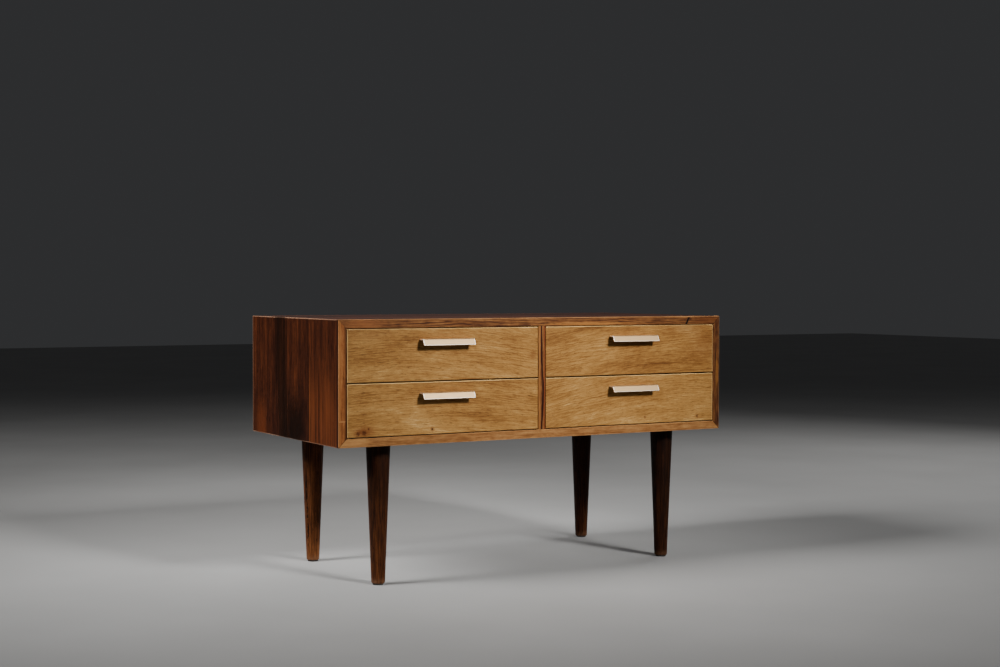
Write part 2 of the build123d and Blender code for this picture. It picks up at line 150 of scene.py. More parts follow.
# ------------------------------------------------------------------ wood
def share(shader, value, weight):
    """A 0 to 1 value as a push of up to half of weight either way."""
    return shader.math("MULTIPLY", shader.math("SUBTRACT", value, 0.5), weight)


def follow_grain(shader, grain, origin, start):
    """A point's place along the grain, across it and through the board.

    grain names the three axes, such as "XZY", with a small letter for one that is followed backwards.
    They are measured from origin, and start is added along the grain.
    """
    place = shader.split(shader.shift(shader.place, tuple(-value for value in origin)))
    along, across, through = [
        place[AXES.index(letter.upper())] if letter.isupper()
        else shader.math("MULTIPLY", place[AXES.index(letter.upper())], -1.0)
        for letter in grain
    ]
    return shader.math("ADD", along, start), across, through


def growth_rings(shader, log, across, through, look):
    """Late wood, from 0 to 1, in rings round a pith that wanders slowly along the log."""
    sway = share(shader, shader.noise(log, (0.5, 0.12, 0.12), 2.0), look["wander"])
    ripple = share(shader, shader.noise(log, (0.1, 0.025, 0.025), 3.0), look["wander"] * 0.3)
    pith_across, pith_through = look["pith"]
    beside = shader.total(across, sway, ripple, pith_across)
    behind = shader.math("ADD", through, pith_through)
    rings = shader.math("DIVIDE", shader.hypotenuse(beside, behind), look["ring_gap"])
    number = shader.math("FLOOR", rings)
    strength = shader.add("TexWhiteNoise", {"W": number}, noise_dimensions="1D").outputs[0]
    return shader.math("MULTIPLY", shader.math("POWER", shader.math("FRACT", rings), 2.5), strength)


def rub_arris(shader, box, look, colour):
    """The edges of the box are worn pale, more in some stretches than in others."""
    width = look["wear_width"]
    chipped = shader.noise(shader.place, (0.02, 0.02, 0.02), 4.0, 0.7)
    stretches = shader.noise(shader.place, (0.11, 0.11, 0.11), 2.0)
    edge = shader.math("ADD", edge_distance(shader, *box), share(shader, chipped, width * 0.8))
    worn = shader.math(
        "MULTIPLY",
        shader.ease(edge, width, width * 0.4, 0.0, look["wear"]),
        shader.ease(stretches, 0.3, 0.6, look["wear_least"], 1.0),
    )
    return shader.blend(worn, colour, look["wear_colour"])


def wood(name, grain, look, seed, box=None, origin=(0, 0, 0), start=0.0, marks=()):
    """Wood whose grain, growth rings, fibres and pores run through the whole board.

    grain, origin and start are as in follow_grain, so that one veneer can run on from board to board.
    Only the edges of box are worn. marks are functions of (shader, grain point, colour) that add what
    only this board has.
    """
    shader = Shader(name)
    along, across, through = follow_grain(shader, grain, origin, start)
    # The grain runs level at one place and bends away from it, more and more, to both sides.
    away = shader.math("SUBTRACT", along, look["level_at"])
    lift = shader.math("MULTIPLY", shader.math("MULTIPLY", away, away), look["bend"])
    leaning = shader.math("ADD", across, lift)
    log = shader.shift(shader.join(along, leaning, through), (seed * 3.7, seed * 1.9, seed * 0.83))

    ring = growth_rings(shader, log, leaning, through, look)
    band = shader.noise(log, look["band_lump"], 2.0, 0.5, 0.3)
    streak = shader.noise(log, look["streak_lump"], 4.0, 0.6)
    mottle = shader.noise(log, look["mottle_lump"], 3.0, 0.6)
    strand = shader.noise(log, look["strand_lump"], 4.0, 0.7)
    fibre = shader.noise(log, (0.03, 0.0007, 0.0007), 3.0, 0.65)
    tone = shader.total(
        share(shader, band, look["band"]),
        share(shader, streak, look["streak"]),
        share(shader, mottle, look["mottle"]),
        share(shader, strand, look["strand"]),
        share(shader, fibre, look["fibre"]),
        shader.math("MULTIPLY", ring, -look["ring"]),
        shader.math("MULTIPLY", along, look["rise"]),
        look["level"],
    )
    colour = shader.ramp(tone, look["colours"])

    # Pores are short dark dashes along the grain, and flecks are longer ones, further apart.
    pores = shader.ease(
        shader.noise(log, (0.006, 0.00035, 0.00035), 1.0), look["pore_start"], look["pore_start"] + 0.1
    )
    flecks = shader.ease(
        shader.noise(log, look["fleck_lump"], 2.0), look["fleck_start"], look["fleck_start"] + 0.08
    )
    colour = shader.blend(shader.math("MULTIPLY", pores, look["pore"]), colour, look["pore_colour"])
    colour = shader.blend(shader.math("MULTIPLY", flecks, look["fleck"]), colour, look["pore_colour"])

    if box:
        colour = rub_arris(shader, box, look, colour)
    point = shader.join(along, across, through)
    for mark in marks:
        colour = mark(shader, point, colour)

    polish = shader.noise(shader.place, (0.06, 0.06, 0.06), 3.0)
    roughness = shader.total(
        look["roughness"],
        share(shader, polish, 0.12),
        share(shader, streak, 0.08),
        shader.math("MULTIPLY", pores, 0.2),
    )
    height = shader.math("SUBTRACT", shader.math("MULTIPLY", fibre, 0.5), pores)
    return shader.finish(
        colour, roughness, height, bump=look["bump"], relief=0.00015, Specular_IOR_Level=look["specular"]
    )


# A wood's look. Lengths are in metres, a lump is the size of a noise's lumps along the grain, across it
# and through the board, and what is neither a length nor a colour is a strength or a noise's level.
BASE = {
    "bend": 0.0,
    "level_at": 0.0,
    "wander": 0.03,
    "pith": (0.2, 0.05),
    "ring_gap": 0.0035,
    "ring": 0.25,
    "band": 0.5,
    "band_lump": (0.5, 0.03, 0.03),
    "streak": 0.5,
    "streak_lump": (0.12, 0.004, 0.004),
    "mottle": 0.2,
    "mottle_lump": (0.05, 0.02, 0.02),
    "strand": 0.3,
    "strand_lump": (0.03, 0.0016, 0.0016),
    "fibre": 0.25,
    "rise": 0.0,
    "level": 0.5,
    "pore": 0.5,
    "pore_start": 0.62,
    "pore_colour": srgb(40, 18, 6),
    "fleck": 0.3,
    "fleck_start": 0.66,
    "fleck_lump": (0.016, 0.0016, 0.0016),
    "wear": 0.6,
    "wear_least": 0.4,
    "wear_width": 0.0014,
    "wear_colour": srgb(186, 122, 66),
    "roughness": 0.45,
    "bump": 0.35,
    "specular": 0.14,
}

ROSEWOOD = {
    **BASE,
    "pith": (0.35, 0.03),
    "ring_gap": 0.006,
    "ring": 0.1,
    "band": 0.6,
    "band_lump": (0.6, 0.025, 0.025),
    "streak_lump": (0.25, 0.005, 0.005),
    "mottle": 0.4,
    "mottle_lump": (0.04, 0.012, 0.012),
    "strand": 1.0,
    "strand_lump": (0.045, 0.0023, 0.0023),
    "fleck": 0.65,
    "fleck_start": 0.58,
    "fleck_lump": (0.012, 0.0016, 0.0016),
    "level": 0.55,
    "colours": [
        (0.0, srgb(12, 4, 2)),
        (0.3, srgb(32, 12, 6)),
        (0.55, srgb(56, 25, 12)),
        (0.8, srgb(84, 41, 20)),
        (1.0, srgb(112, 62, 34)),
    ],
    "pore_colour": srgb(8, 3, 1),
    "wear_least": 0.7,
    "wear_colour": srgb(192, 146, 116),
    "roughness": 0.5,
    "specular": 0.08,
}

HONEY = {
    **BASE,
    "wander": 0.05,
    "pith": (0.3, 0.06),
    "ring_gap": 0.005,
    "ring": 0.26,
    "band": 0.8,
    "band_lump": (0.16, 0.035, 0.035),
    "streak": 0.25,
    "streak_lump": (0.09, 0.005, 0.005),
    "mottle": 0.35,
    "mottle_lump": (0.05, 0.022, 0.022),
    "strand": 0.9,
    "strand_lump": (0.02, 0.0021, 0.0021),
    "fibre": 0.4,
    "colours": [
        (0.0, srgb(66, 35, 12)),
        (0.3, srgb(112, 70, 29)),
        (0.55, srgb(148, 104, 51)),
        (0.8, srgb(176, 132, 73)),
        (1.0, srgb(204, 166, 106)),
    ],
    "pore": 0.55,
    "pore_start": 0.6,
    "pore_colour": srgb(62, 30, 8),
    "fleck": 0.65,
    "fleck_start": 0.61,
    "fleck_lump": (0.013, 0.0013, 0.0013),
    "wear": 0.95,
    "wear_least": 0.35,
    "wear_width": 0.0017,
    "wear_colour": srgb(236, 192, 126),
}

LIPPING = {
    **BASE,
    "pith": (0.06, 0.02),
    "ring_gap": 0.004,
    "ring": 0.5,
    "band_lump": (0.12, 0.008, 0.008),
    "streak": 0.8,
    "streak_lump": (0.035, 0.0024, 0.0024),
    "mottle": 0.5,
    "mottle_lump": (0.02, 0.008, 0.008),
    "strand": 0.6,
    "strand_lump": (0.02, 0.0012, 0.0012),
    "colours": [
        (0.0, srgb(34, 13, 6)),
        (0.3, srgb(84, 46, 22)),
        (0.6, srgb(130, 84, 43)),
        (1.0, srgb(182, 134, 81)),
    ],
    "fleck": 0.5,
    "fleck_lump": (0.012, 0.0012, 0.0012),
    "wear": 0.5,
    "wear_colour": srgb(214, 158, 102),
}

LEG = {
    **ROSEWOOD,
    "pith": (0.05, 0.012),
    "ring_gap": 0.003,
    "ring": 0.4,
    "wander": 0.02,
    "band": 0.3,
    "band_lump": (0.3, 0.014, 0.014),
    "streak": 0.45,
    "streak_lump": (0.14, 0.003, 0.003),
    "mottle": 0.3,
    "mottle_lump": (0.05, 0.01, 0.01),
    "colours": [
        (0.0, srgb(10, 4, 1)),
        (0.3, srgb(30, 13, 5)),
        (0.55, srgb(56, 28, 12)),
        (0.8, srgb(88, 48, 22)),
        (1.0, srgb(124, 76, 42)),
    ],
    "fleck": 0.7,
    "fleck_start": 0.62,
    "fleck_lump": (0.02, 0.0025, 0.0025),
    # Painted shade: the tone falls towards the top of the leg, where the case shades it.
    "rise": -1.2,
}

BEECH = {
    **BASE,
    "ring": 0.12,
    "band": 0.3,
    "streak": 0.35,
    "fleck": 0.2,
    "colours": [
        (0.0, srgb(150, 104, 58)),
        (0.5, srgb(200, 154, 100)),
        (1.0, srgb(226, 188, 138)),
    ],
    "pore": 0.35,
    "pore_colour": srgb(130, 82, 44),
    "wear": 0.3,
    "wear_colour": srgb(236, 204, 158),
    "roughness": 0.55,
}

PLYWOOD = {
    **BEECH,
    "pith": (0.02, 0.12),
    "ring_gap": 0.009,
    "ring": 0.3,
    "mottle": 0.3,
}


# ------------------------------------------------------------------ marks that only one board has
# The point of a mark is its place along the grain, across it and through the board, in metres.
LEAF_GLOW = srgb(108, 55, 26)
LEAF_JOINT = srgb(160, 90, 42)
HEARTWOOD = srgb(16, 6, 2)
KNOT_CORE = srgb(62, 20, 3)
KNOT_HALO = srgb(104, 46, 12)
CRACK = srgb(6, 2, 1)
GLUE_LINE = srgb(30, 12, 5)
# Painted shade in the gaps round the fronts and along their lower edges.
GAP_SHADE = srgb(30, 14, 5)
SCUFF = srgb(112, 80, 58)
BARK = srgb(14, 4, 1)
CORE_STRIPS = [(0.4, srgb(122, 76, 38)), (0.6, srgb(160, 108, 58))]
# Smudges on the fronts, and painted shade round the pulls.
SMUDGE_AND_SHADE = srgb(104, 56, 20)
DARK_VEIN = srgb(40, 11, 3)


def distance_to(shader, value, centre):
    return shader.math("ABSOLUTE", shader.math("SUBTRACT", value, centre))


def spot_distance(shader, point, centre, reach, ragged_lump, detail, raggedness):
    """How far a point is from a spot: nothing at its centre, and about 1 at its ragged outline."""
    along, across, _ = shader.split(point)
    right = shader.math("DIVIDE", shader.math("SUBTRACT", along, centre[0]), reach[0])
    up = shader.math("DIVIDE", shader.math("SUBTRACT", across, centre[1]), reach[1])
    ragged = share(shader, shader.noise(point, ragged_lump, detail, 0.7), raggedness)
    return shader.math("ADD", shader.hypotenuse(right, up), ragged)


def patch(along_at, across_at, length, width, colour, strength):
    """A soft patch of another colour, ragged at its edge."""
    centre, reach = (along_at, across_at), (length, width)

    def mark(shader, point, under):
        away = spot_distance(shader, point, centre, reach, (0.012, 0.004, 0.02), 4.0, 1.4)
        return shader.blend(shader.ease(away, 1.2, 0.2, 0.0, strength), under, colour)

    return mark


def knot(along_at, across_at, radius, strength=0.8, core=KNOT_CORE):
    """A small dark knot in a ragged brown halo."""
    centre, reach = (along_at, across_at), (radius, radius)

    def mark(shader, point, under):
        away = spot_distance(shader, point, centre, reach, (0.005, 0.003, 0.01), 3.0, 2.6)
        colour = shader.blend(shader.ease(away, 2.6, 0.8, 0.0, strength * 0.5), under, KNOT_HALO)
        return shader.blend(shader.ease(away, 1.2, 0.3, 0.0, strength), colour, core)

    return mark


def vein(centre, width, sway, strength, colour, length=0.08, bow=0.0, bow_at=0.0):
    """A line along the grain at that place across the board, which sways from side to side.

    It also bows by up to bow, across the board, round the place bow_at along it, and is wider there.
    """
    bow_reach = 0.09

    def mark(shader, point, under):
        along, across, _ = shader.split(point)
        course = shader.noise(shader.join(along, 0.0, centre), (length, 1.0, 1.0), 3.0)
        swell = shader.noise(shader.join(along, 7.0, centre), (length, 1.0, 1.0), 2.0)
        bend = shader.ease(distance_to(shader, along, bow_at), bow_reach, 0.0, 0.0, -bow)
        reach = shader.math(
            "ADD", shader.math("MULTIPLY", swell, 2 * width), shader.math("MULTIPLY", bend, -0.15)
        )
        apart = distance_to(shader, shader.total(across, share(shader, course, sway), bend), centre)
        inside = shader.math("DIVIDE", apart, reach)
        return shader.blend(shader.ease(inside, 1.0, 0.4, 0.0, strength), under, colour)

    return mark


def veneer_leaves(joint, line_from):
    """Two leaves of veneer meet at a place across the board; below line_from the joint shows pale."""

    def mark(shader, point, under):
        along, across, _ = shader.split(point)
        front_leaf = shader.ease(across, joint + 0.0004, joint - 0.0004)
        warmth = shader.noise(shader.shift(point, (0.0, 5.3, 0.0)), (0.3, 0.007, 0.2), 4.0, 0.6)
        glow = shader.math(
            "MULTIPLY", shader.ease(warmth, 0.35, 0.65), shader.ease(along, -0.06, -0.19, 0.0, 0.8)
        )
        colour = shader.blend(shader.math("MULTIPLY", front_leaf, glow), under, LEAF_GLOW)
        low_down = shader.ease(along, line_from + 0.08, line_from - 0.08, 0.0, 0.6)
        line = shader.ease(distance_to(shader, across, joint - 0.0015), 0.0022, 0.0006)
        return shader.blend(shader.math("MULTIPLY", line, low_down), colour, LEAF_JOINT)

    return mark


def heartwood(centre, spread, drift):
    """A near-black streak that moves sideways where the place along the grain is below nothing."""

    def mark(shader, point, under):
        along, across, _ = shader.split(point)
        below = shader.math("MINIMUM", along, 0.0)
        middle = shader.math("ADD", shader.math("MULTIPLY", below, drift), centre)
        ragged = share(shader, shader.noise(point, (0.25, 0.01, 0.2), 4.0, 0.65), 0.11)
        apart = shader.math("ADD", distance_to(shader, across, middle), ragged)
        inside = shader.math("DIVIDE", apart, spread)
        return shader.blend(shader.ease(inside, 1.3, 0.35, 0.0, 0.8), under, HEARTWOOD)

    return mark


def crack(along_at, lean, low, high):
    """A dark split across the grain, between two places across the board."""
    middle, length = (low + high) / 2, high - low

    def mark(shader, point, under):
        along, across, _ = shader.split(point)
        course = shader.math("MULTIPLY", shader.math("SUBTRACT", across, middle), -lean)
        jagged = share(shader, shader.noise(point, (1.0, 0.003, 1.0), 3.0), 0.003)
        apart = distance_to(shader, shader.total(along, course, jagged), along_at)
        line = shader.math(
            "MULTIPLY",
            shader.ease(apart, 0.0032, 0.0016),
            shader.ease(distance_to(shader, across, middle), length * 0.55, length * 0.45),
        )
        return shader.blend(line, under, CRACK)

    return mark


def mitre_seams(ends, edge, strength=0.85, width=0.0009):
    """A thin dark glue line on the 45 degree joint at each end, which starts at that end and edge."""

    def mark(shader, point, under):
        along, across, _ = shader.split(point)
        rise = distance_to(shader, across, edge)
        for end in ends:
            run = distance_to(shader, along, end)
            line = shader.ease(distance_to(shader, run, rise), width, width * 0.4, 0.0, strength)
            under = shader.blend(line, under, GLUE_LINE)
        return under

    return mark


def veneered_over(outer, face):
    """The veneer of the panel behind runs on over a lipping's outer side, up to the worn arris.

    outer is the place of that side across the board, and face is the depth of the front face.
    """

    def mark(shader, point, under):
        _, across, through = shader.split(point)
        covered = shader.least(
            shader.ease(distance_to(shader, across, outer), 0.0003, 0.0001),
            shader.ease(shader.math("SUBTRACT", through, face), 0.0003, 0.0009),
        )
        streaks = shader.noise(point, (0.3, 1.0, 0.004), 3.0, 0.6)
        return shader.blend(covered, under, shader.ramp(streaks, ROSEWOOD["colours"]))

    return mark


def gap_shade(face=0.0, outer=None, sill=None):
    """Painted shade in the gap round an inset front, behind the arris of the board whose face is at that
    depth.

    outer is the place across the board of its other edge, which stays unshaded, and sill is the place
    of a lower edge whose face is darkened with painted shade too.
    """

    def mark(shader, point, under):
        _, across, through = shader.split(point)
        # Painted shade: faces set back behind the front face, in the gap, are darkened.
        behind = shader.math("SUBTRACT", through, face)
        dark = shader.least(
            shader.ease(behind, 0.0006, 0.0009, 0.0, 0.9), shader.ease(behind, 0.006, 0.003)
        )
        if outer is not None:
            inner = shader.ease(distance_to(shader, across, outer), 0.008, 0.01)
            dark = shader.math("MULTIPLY", dark, inner)
        # Painted shade on the face along a lower edge too.
        if sill is not None:
            low_edge = shader.ease(distance_to(shader, across, sill), 0.0014, 0.0004, 0.0, 0.85)
            dark = shader.math("MAXIMUM", dark, low_edge)
        return shader.blend(dark, under, GAP_SHADE)

    return mark


def scuffed_foot(shader, point, under):
    """The lowest centimetre of a leg is scuffed grey-brown."""
    along, _, _ = shader.split(point)
    scuffs = shader.noise(point, (0.012, 0.005, 0.005), 4.0, 0.7)
    worn = shader.math(
        "MULTIPLY", shader.ease(along, 0.018, 0.004), shader.ease(scuffs, 0.35, 0.6, 0.2, 0.6)
    )
    return shader.blend(worn, under, SCUFF)


def bark_line(low, high, behind, width=0.003):
    """A broken line of dark bark pockets up the left side of a leg, at that place in its depth."""
    middle, reach = (low + high) / 2, (high - low) / 2

    def mark(shader, point, under):
        along, across, through = shader.split(point)
        course = share(shader, shader.noise(point, (0.02, 0.5, 0.5), 3.0), 0.006)
        apart = distance_to(shader, shader.math("ADD", through, course), behind)
        pockets = shader.noise(point, (0.009, 0.004, 0.004), 3.0, 0.6)
        dark = shader.least(
            shader.ease(apart, width, width * 0.4),
            shader.ease(pockets, 0.42, 0.5),
            shader.ease(distance_to(shader, along, middle), reach, reach * 0.85),
            shader.ease(across, 0.0, -0.004),
        )
        return shader.blend(shader.math("MULTIPLY", dark, 0.9), under, BARK)

    return mark


def veneered_core(thickness=0.017, veneer=0.0009):
    """Blockboard between two veneers, seen where a board's edge is bare. Its show face is at depth 0."""

    def mark(shader, point, under):
        _, _, through = shader.split(point)
        depth = shader.math("ABSOLUTE", through)
        core = shader.math(
            "MULTIPLY",
            shader.ease(depth, veneer * 0.9, veneer * 1.1),
            shader.ease(depth, thickness - veneer * 0.9, thickness - veneer * 1.1),
        )
        strips = shader.noise(point, (0.022, 0.4, 0.03), 1.0)
        return shader.blend(core, under, shader.ramp(strips, CORE_STRIPS))

    return mark


def dress(node, material):
    """Gives a CAD node its one material."""
    materials = nodes[node].data.materials
    materials.clear()
    materials.append(material)


def board(node, grain, look, seed, marks=(), origin=(0, 0, 0), start=0.0, box=None, **changes):
    """Dresses a node as a board. Only the edges of box, which is the node's own if not given, are worn.

    seed picks the stretch of the log that the board is cut from, and changes are changes to the look.
    """
    look = {**look, **changes}
    dress(node, wood(node, grain, look, seed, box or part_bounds(node), origin, start, marks))


# ------------------------------------------------------------------ the case
front_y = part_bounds("top_lipping")[0].y
case_low = Vector(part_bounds("left_side_panel")[0])
case_high = Vector(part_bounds("right_side_panel")[1])
left, right, bottom, top = case_low.x, case_high.x, case_low.z, case_high.z
# The panels and lippings are glued flush, so only the outer edges of the whole case are worn.
case_box = (Vector((left, front_y, bottom)), case_high)
# One pair of veneer leaves runs up the left side, over the top and down the right side, so its marks are
# measured from the top left edge, and the part below nothing along it lies on the left side.
VENEER_JOINT = -0.07
VENEER_HEART = 0.078
case_marks = (
    veneer_leaves(VENEER_JOINT, -0.12),
    heartwood(VENEER_HEART, 0.032, 0.08),
    patch(-0.22, 0.0, 0.09, 0.06, srgb(12, 4, 1), 0.9),
    patch(-0.23, 0.18, 0.07, 0.035, srgb(104, 50, 22), 0.45),
    veneered_core(),
)
CASE_SEED = 3
board("left_side_panel", "ZYX", ROSEWOOD, CASE_SEED, case_marks, origin=(left, 0, top), box=case_box)
board("top_panel", "XYZ", ROSEWOOD, CASE_SEED, case_marks, origin=(left, 0, top), box=case_box)
board(
    "right_side_panel", "zYX", ROSEWOOD, CASE_SEED, case_marks,
    origin=(right, 0, top), start=right - left, box=case_box,
)
board(
    "bottom_panel", "XYZ", ROSEWOOD, 5, (veneered_core(),), origin=(left, 0, bottom), box=case_box
)
board("centre_divider", "ZYX", ROSEWOOD, 21)
board("back_panel", "XZY", PLYWOOD, 31, level=0.2, wear=0.0)

# ------------------------------------------------------------------ the lippings
# All but the divider's are measured from the case's lower left corner.
case_corner = (left, 0, bottom)
LONG, HIGH = right - left, top - bottom
LIP_MIDDLE = 0.0085             # half of a lipping's 17 mm face
FAINT = 0.35                    # the strength of the upper left mitre's glue line
REDDER = [
    (0.0, srgb(38, 13, 5)),
    (0.3, srgb(92, 46, 20)),
    (0.6, srgb(140, 81, 38)),
    (1.0, srgb(190, 130, 74)),
]

top_marks = (
    patch(0.05, HIGH - 0.009, 0.06, 0.014, srgb(156, 96, 52), 0.5),
    patch(0.56, HIGH - 0.013, 0.12, 0.004, srgb(178, 118, 56), 0.6),
    patch(0.865, HIGH - 0.008, 0.045, 0.012, srgb(84, 38, 14), 0.55),
    patch(0.822, HIGH - 0.006, 0.006, 0.004, srgb(58, 22, 8), 0.7),
    crack(0.8145, 0.55, HIGH - 0.0175, HIGH - 0.002),
    mitre_seams((0,), HIGH, FAINT),
    mitre_seams((LONG,), HIGH),
    gap_shade(front_y, HIGH),
    veneered_over(HIGH, front_y),
)
board("top_lipping", "XZY", LIPPING, 41, top_marks, origin=case_corner, box=case_box)

bottom_marks = (
    patch(0.03, LIP_MIDDLE, 0.045, 0.014, srgb(196, 142, 84), 0.5),
    patch(0.18, LIP_MIDDLE, 0.11, 0.014, srgb(108, 64, 28), 0.3),
    mitre_seams((0, LONG), 0),
)
board(
    "bottom_lipping", "XZY", LIPPING, 42, bottom_marks, origin=case_corner,
    level=0.72, ring=0.2, streak=0.5,
)

left_marks = (
    vein(0.003, 0.0028, 0.001, 0.3, srgb(184, 124, 62)),
    vein(0.0158, 0.0038, 0.002, 0.8, srgb(72, 38, 14)),
    mitre_seams((0,), 0),
    mitre_seams((HIGH,), 0, FAINT),
    gap_shade(front_y, 0),
    veneered_over(0, front_y),
)
for part, seed, level in (("left_lipping_upper", 43, 0.64), ("left_lipping_lower", 44, 0.56)):
    low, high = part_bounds(part)
    # Each length is worn at its ends too, so the butt joint between the two shows.
    part_box = (Vector((left, front_y, low.z)), Vector((right, case_high.y, high.z)))
    board(
        part, "ZXY", LIPPING, seed, left_marks, origin=case_corner, box=part_box,
        level=level, ring=0.2, streak=0.5, wear=0.6, wear_least=0.55, colours=REDDER,
    )

right_marks = (
    patch(HIGH / 2, LONG - 0.006, 0.05, 0.003, srgb(150, 98, 40), 0.5),
    mitre_seams((0, HIGH), LONG),
    gap_shade(front_y, LONG),
    veneered_over(LONG, front_y),
)
board("right_lipping", "ZXY", LIPPING, 45, right_marks, origin=case_corner, box=case_box, level=0.38)

divider_marks = (
    vein(-0.0052, 0.003, 0.003, 0.45, srgb(160, 104, 50), 0.1),
    vein(0.0062, 0.0032, 0.004, 0.7, srgb(104, 40, 15), 0.1),
    vein(-0.0015, 0.0023, 0.003, 1.0, DARK_VEIN, 0.06, bow=0.0045, bow_at=0.368),
)
board("divider_lipping", "ZXY", LIPPING, 46, divider_marks, level=0.55, wear=0.0)

# ------------------------------------------------------------------ drawers and runners
# The marks of a drawer front are measured from its lower left corner. A figure is the place along
# the front where the grain runs level, how much it bends, and how pale the wood is.
FIGURES = {
    "upper_left": (0.09, 0.28, 0.6),
    "upper_right": (0.4, 0.26, 0.59),
    "lower_left": (0.09, 0.2, 0.63),
    "lower_right": (0.4, 0.28, 0.67),
}
FRONT_MARKS = {
    "upper_left": (
        patch(0.411, 0.046, 0.01, 0.012, SMUDGE_AND_SHADE, 0.5),
        patch(0.05, 0.09, 0.06, 0.012, SMUDGE_AND_SHADE, 0.3),
    ),
    "upper_right": (
        patch(0.4, 0.06, 0.06, 0.05, SMUDGE_AND_SHADE, 0.4),
        patch(0.34, 0.1, 0.08, 0.022, SMUDGE_AND_SHADE, 0.4),
    ),
    "lower_left": (
        patch(0.036, 0.011, 0.03, 0.013, srgb(112, 56, 18), 0.6),
        knot(0.0229, 0.0072, 0.0042, 0.8),
        knot(0.035, 0.0087, 0.005),
        knot(0.0449, 0.0161, 0.002, 0.95),
        knot(0.1817, 0.01, 0.0027, 1.0, DARK_VEIN),
    ),
    "lower_right": (knot(0.2453, 0.0135, 0.0022, 0.7), knot(0.3812, 0.0103, 0.003, 0.7)),
}
for number, place in enumerate(PLACES):
    front = f"{place}_drawer_front"
    low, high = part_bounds(front)
    # The lower edge and the edge beside the divider are hardly worn, so the worn box reaches past them.
    worn_box = (
        Vector((min(low.x, 0), low.y, bottom)),
        Vector((max(high.x, 0), high.y, high.z)),
    )
    pull_low, pull_high = (Vector(end) - Vector(low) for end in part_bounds(f"{place}_pull"))
    pull_centre = (pull_low + pull_high) / 2
    # A dark patch round each pull: partly hand grime, partly painted shade from the pull.
    pull_grime_and_shade = patch(pull_centre.x, pull_centre.z, 0.085, 0.024, SMUDGE_AND_SHADE, 0.35)
    marks = (*FRONT_MARKS[place], pull_grime_and_shade, gap_shade(sill=0))
    level_at, bend, level = FIGURES[place]
    board(
        front, "XZY", HONEY, 51 + number, marks, origin=low, box=worn_box,
        level_at=level_at, bend=bend, level=level,
    )
    board(f"{place}_drawer_side_left", "YZX", BEECH, 61 + number)
    board(f"{place}_drawer_side_right", "YZX", BEECH, 66 + number)
    board(f"{place}_drawer_back", "XZY", BEECH, 71 + number)
    board(f"{place}_drawer_bottom", "XYZ", PLYWOOD, 76 + number)
    board(f"{place}_runner_left", "YZX", BEECH, 81 + number)
    board(f"{place}_runner_right", "YZX", BEECH, 86 + number)

# ------------------------------------------------------------------ legs and hidden joinery
# A leg is measured from the foot of its axis. It has no edges to wear, only its foot.
# Each leg's level is partly its own tone and partly painted light: the left legs paler, as if lit from
# the left, and the right ones darker.
LEG_LEVELS = {"front_left": 0.72, "rear_left": 0.91, "front_right": 0.59, "rear_right": 0.67}
LEG_MARKS = {"rear_left": (bark_line(0.04, 0.19, -0.007),)}
for number, (place, level) in enumerate(LEG_LEVELS.items()):
    leg = f"{place}_leg"
    low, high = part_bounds(leg)
    axis = ((low.x + high.x) / 2, (low.y + high.y) / 2, 0)
    look = {**LEG, "level": level}
    marks = (scuffed_foot, *LEG_MARKS.get(place, ()))
    dress(leg, wood(leg, "ZXY", look, 91 + number, origin=axis, marks=marks))
board("corner_splines", "YXZ", PLYWOOD, 101)
board("divider_dowels", "ZXY", BEECH, 102)


# ------------------------------------------------------------------ metal and plastic
# Partly wear and partly a painted highlight on a pull's ends and lower edge.
WORN_HIGHLIT_METAL = srgb(255, 240, 222)
# Painted shade on the inside of a pull.
SHADED_METAL = srgb(70, 52, 38)


def metal(name, colour, roughness, brushed, pull_bounds=None):
    """Metal with fine brush marks; brushed is the lump of a mark, in metres each way.

    Given the box of a pull, its two ends and lower edge are painted bright, partly as wear and partly
    as a painted highlight, and its inside, which faces backwards and down, is darkened with painted
    shade.
    """
    shader = Shader(name)
    marks = shader.noise(shader.place, brushed, 4.0, 0.7)
    dull = shader.noise(shader.place, (0.02, 0.01, 0.004), 3.0)
    dirt = shader.total(shader.math("MULTIPLY", marks, 0.3), shader.ease(dull, 0.4, 0.8, 0.0, 0.3))
    tint = shader.blend(dirt, colour, (*[channel * 0.6 for channel in colour[:3]], 1.0))
    if pull_bounds:
        low, high = pull_bounds
        x, _, z = shader.split(shader.place)
        # Painted bright within about 2 mm of the ends and the lower edge: partly wear, partly a painted
        # highlight.
        ends = shader.least(
            shader.math("SUBTRACT", x, low.x),
            shader.math("SUBTRACT", high.x, x),
            shader.math("SUBTRACT", z, low.z),
        )
        tint = shader.blend(shader.ease(ends, 0.0022, 0.0008, 0.0, 0.9), tint, WORN_HIGHLIT_METAL)
        # Painted shade: faces that point backwards or down, inside the pull, are darkened.
        _, backwards, upwards = shader.split(shader.add("TexCoord").outputs["Normal"])
        inside = shader.math(
            "MAXIMUM", shader.ease(backwards, 0.1, 0.4), shader.ease(upwards, -0.6, -0.8)
        )
        tint = shader.blend(shader.math("MULTIPLY", inside, 0.85), tint, SHADED_METAL)
    # The two noises add about 0.1 on average.
    rough = shader.total(
        roughness - 0.1,
        shader.math("MULTIPLY", marks, 0.12),
        shader.math("MULTIPLY", dull, 0.1),
    )
    return shader.finish(tint, rough, marks, bump=0.25, relief=0.00005, Metallic=0.7)


def nylon():
    shader = Shader("dark_nylon")
    grit = shader.noise(shader.place, (0.0006, 0.0006, 0.0006), 3.0)
    scuffs = shader.noise(shader.place, (0.006, 0.006, 0.002), 4.0, 0.7)
    colour = shader.ramp(scuffs, [(0.3, srgb(20, 18, 17)), (0.8, srgb(62, 56, 50))])
    return shader.finish(colour, shader.ease(scuffs, 0.3, 0.8, 0.5, 0.75), grit, bump=0.3)


